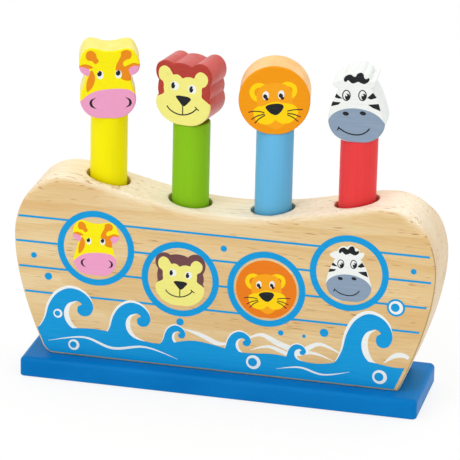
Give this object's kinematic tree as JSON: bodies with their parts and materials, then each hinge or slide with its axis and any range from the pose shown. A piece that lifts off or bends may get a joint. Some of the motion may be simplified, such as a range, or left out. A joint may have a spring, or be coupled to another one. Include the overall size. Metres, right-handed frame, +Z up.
{
  "type": "pop up animal toy",
  "caption": "Wooden pop-up toy: a boat-shaped block on a painted board holds pegs with animal heads, which press down against springs and pop up again.",
  "frame": {"origin": "middle of the base board's underside", "axes": "+X along the boat towards its stern, where the zebra stands; -Y is the printed front; +Z up"},
  "size_m": [0.254, 0.063, 0.2032],
  "materials": {
    "hull_wood": "sanded pine, clear satin lacquer",
    "board_paint": "blue paint on wood, satin",
    "peg_yellow": "yellow paint on a wooden rod, satin",
    "peg_green": "green paint on a wooden rod, satin",
    "peg_blue": "light blue paint on a wooden rod, satin",
    "peg_red": "red paint on a wooden rod, satin",
    "giraffe_wood": "pale yellow stain on wood",
    "monkey_wood": "red-brown stain on wood",
    "lion_wood": "pale orange stain on wood",
    "zebra_wood": "white paint on wood",
    "pin_beech": "plain beech",
    "collar_nylon": "white moulded nylon",
    "spring_wire": "bright spring wire",
    "screw_steel": "zinc-plated steel",
    "print_blue": "blue screen-printed ink",
    "print_pale_blue": "pale blue screen-printed ink",
    "print_white": "white screen-printed ink",
    "print_black": "black screen-printed ink",
    "print_grey": "grey-blue screen-printed ink",
    "print_yellow": "yellow screen-printed ink",
    "print_cream": "cream screen-printed ink",
    "print_orange": "orange screen-printed ink",
    "print_pink": "pink screen-printed ink",
    "print_brown": "red-brown screen-printed ink",
    "print_amber": "amber screen-printed ink",
    "print_gold": "golden yellow screen-printed ink"
  },
  "bodies": {
    "boat": {"hull": "hull_wood", "base_board": "board_paint", "base_screws": "screw_steel", "locating_pins": "pin_beech", "giraffe_spring": "spring_wire", "monkey_spring": "spring_wire", "lion_spring": "spring_wire", "zebra_spring": "spring_wire"},
    "giraffe_plunger": {"giraffe_collar": "collar_nylon"},
    "giraffe_figure": {"giraffe_peg": "peg_yellow", "giraffe_head": "giraffe_wood", "giraffe_head_pin": "pin_beech", "giraffe_collar_screw": "screw_steel"},
    "monkey_plunger": {"monkey_collar": "collar_nylon"},
    "monkey_figure": {"monkey_peg": "peg_green", "monkey_head": "monkey_wood", "monkey_head_pin": "pin_beech", "monkey_collar_screw": "screw_steel"},
    "lion_plunger": {"lion_collar": "collar_nylon"},
    "lion_figure": {"lion_peg": "peg_blue", "lion_head": "lion_wood", "lion_head_pin": "pin_beech", "lion_collar_screw": "screw_steel"},
    "zebra_plunger": {"zebra_collar": "collar_nylon"},
    "zebra_figure": {"zebra_peg": "peg_red", "zebra_head": "zebra_wood", "zebra_head_pin": "pin_beech", "zebra_collar_screw": "screw_steel"}
  },
  "joints": [
    {"name": "giraffe_press", "type": "slide", "parent": "boat", "child": "giraffe_plunger", "axis": [0, 0, 1], "range_m": [-0.036, 0], "stiffness_N_per_m": 116, "springref_m": 0.02, "deforming": ["giraffe_spring"]},
    {"name": "giraffe_turn", "type": "hinge", "parent": "giraffe_plunger", "child": "giraffe_figure", "pos_m": [-0.075, 0, 0.0703], "axis": [0, 0, 1], "continuous": true},
    {"name": "monkey_press", "type": "slide", "parent": "boat", "child": "monkey_plunger", "axis": [0, 0, 1], "range_m": [-0.047, 0], "stiffness_N_per_m": 116, "springref_m": 0.02, "deforming": ["monkey_spring"]},
    {"name": "monkey_turn", "type": "hinge", "parent": "monkey_plunger", "child": "monkey_figure", "pos_m": [-0.025, 0, 0.0703], "axis": [0, 0, 1], "continuous": true},
    {"name": "lion_press", "type": "slide", "parent": "boat", "child": "lion_plunger", "axis": [0, 0, 1], "range_m": [-0.047, 0], "stiffness_N_per_m": 116, "springref_m": 0.02, "deforming": ["lion_spring"]},
    {"name": "lion_turn", "type": "hinge", "parent": "lion_plunger", "child": "lion_figure", "pos_m": [0.025, 0, 0.0703], "axis": [0, 0, 1], "continuous": true},
    {"name": "zebra_press", "type": "slide", "parent": "boat", "child": "zebra_plunger", "axis": [0, 0, 1], "range_m": [-0.036, 0], "stiffness_N_per_m": 116, "springref_m": 0.02, "deforming": ["zebra_spring"]},
    {"name": "zebra_turn", "type": "hinge", "parent": "zebra_plunger", "child": "zebra_figure", "pos_m": [0.075, 0, 0.0703], "axis": [0, 0, 1], "continuous": true}
  ]
}
